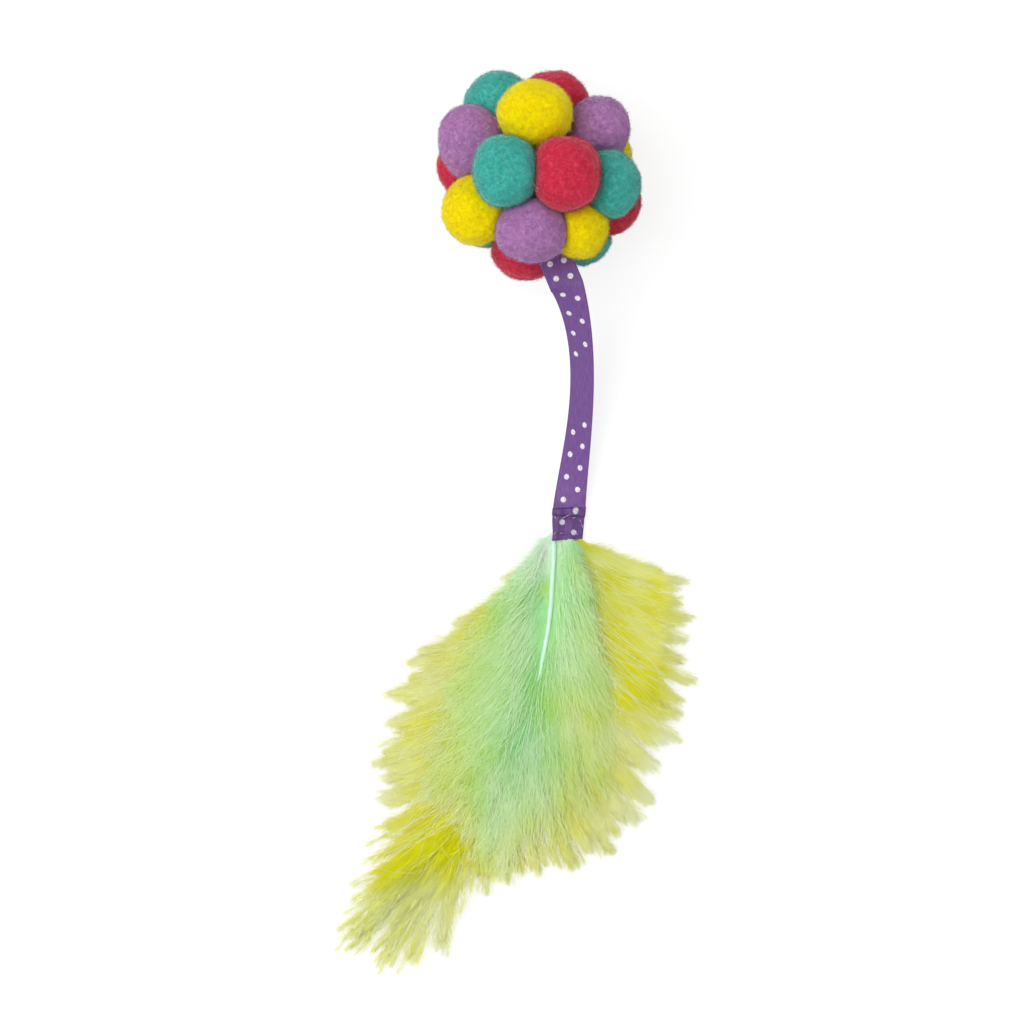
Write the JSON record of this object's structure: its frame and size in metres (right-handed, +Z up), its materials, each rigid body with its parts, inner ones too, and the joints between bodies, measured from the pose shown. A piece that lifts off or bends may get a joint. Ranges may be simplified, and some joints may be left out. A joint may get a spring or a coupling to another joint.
{
  "type": "cat toy ball",
  "caption": "Soft cat toy: a bobble ball of coloured felt balls round a rattle core, trailing a dotted satin ribbon whose stitched hem holds a mint and a yellow plume.",
  "frame": {"origin": "On the table, straight under the middle of the ball, between the three felt balls that it rests on.", "axes": "+Z is up from the table. The ribbon and plumes trail along the table towards -Y. +X is to the right of the tail, seen from above with the ball at the top."},
  "size_m": [0.1119, 0.2755, 0.0614],
  "materials": {
    "felt_yellow": "needled wool felt",
    "felt_teal": "needled wool felt",
    "felt_raspberry": "needled wool felt",
    "felt_lilac": "needled wool felt",
    "core_plastic": "moulded, unpainted",
    "bead_plastic": "moulded",
    "glue": "hot melt, set",
    "ribbon": "woven satin with printed dots",
    "thread": "spun sewing thread",
    "quill": "dyed feather quill",
    "plume_yellow": "dyed marabou down",
    "plume_mint": "dyed marabou down"
  },
  "bodies": {
    "ball": {"felt_teal_top": "felt_teal", "felt_raspberry_top": "felt_raspberry", "felt_yellow_far": "felt_yellow", "felt_lilac_left": "felt_lilac", "felt_yellow_left": "felt_yellow", "felt_lilac_tail": "felt_lilac", "felt_yellow_tail": "felt_yellow", "felt_teal_right": "felt_teal", "felt_lilac_right": "felt_lilac", "felt_teal_far": "felt_teal", "felt_raspberry_far": "felt_raspberry", "felt_raspberry_left": "felt_raspberry", "felt_teal_left": "felt_teal", "felt_raspberry_tail": "felt_raspberry", "felt_teal_tail": "felt_teal", "felt_raspberry_right": "felt_raspberry", "felt_yellow_right": "felt_yellow", "felt_lilac_foot": "felt_lilac", "felt_yellow_foot": "felt_yellow", "felt_lilac_foot_tail": "felt_lilac", "core_lower": "core_plastic", "core_upper": "core_plastic", "glue_pads": "glue", "ribbon_root": "ribbon"},
    "bead": {"rattle_bead": "bead_plastic"},
    "upper_ribbon": {"ribbon_upper": "ribbon"},
    "middle_ribbon": {"ribbon_middle": "ribbon"},
    "lower_ribbon": {"ribbon_lower": "ribbon"},
    "hem": {"ribbon_hem": "ribbon", "hem_stitches": "thread", "quill_roots": "quill"},
    "yellow_feather": {"yellow_quill": "quill", "yellow_plume": "plume_yellow"},
    "mint_feather": {"mint_quill": "quill", "mint_plume": "plume_mint"}
  },
  "joints": [
    {"name": "ribbon_bend", "type": "hinge", "parent": "ball", "child": "upper_ribbon", "pos_m": [0.00808, -0.03241, 0.03009], "axis": [-0.9205, -0.3907, 0], "range_deg": [-30, 75]},
    {"name": "ribbon_twist", "type": "hinge", "parent": "upper_ribbon", "child": "middle_ribbon", "pos_m": [0.01306, -0.05605, 0.014], "axis": [0.0386, -0.8819, -0.4699], "range_deg": [-60, 60]},
    {"name": "ribbon_fold", "type": "hinge", "parent": "middle_ribbon", "child": "lower_ribbon", "pos_m": [0.01191, -0.07869, 0.00476], "axis": [-0.7701, 0.2558, -0.5845], "range_deg": [-45, 45]},
    {"name": "hem_bend", "type": "hinge", "parent": "lower_ribbon", "child": "hem", "pos_m": [0.00948, -0.09861, 0.0017], "axis": [-0.9962, 0.0872, 0], "range_deg": [-35, 35]},
    {"name": "feather_flop", "type": "hinge", "parent": "hem", "child": "yellow_feather", "pos_m": [0.0085, -0.10977, 0.0017], "axis": [-0.9962, 0.0872, 0], "range_deg": [-20, 20]},
    {"name": "mint_lift", "type": "hinge", "parent": "yellow_feather", "child": "mint_feather", "pos_m": [0.0085, -0.10977, 0.0017], "axis": [-0.9962, 0.0872, 0], "range_deg": [0, 20]},
    {"name": "bead_rattle", "type": "slide", "parent": "ball", "child": "bead", "axis": [0, 0, 1], "range_m": [0, 0.0142]}
  ]
}
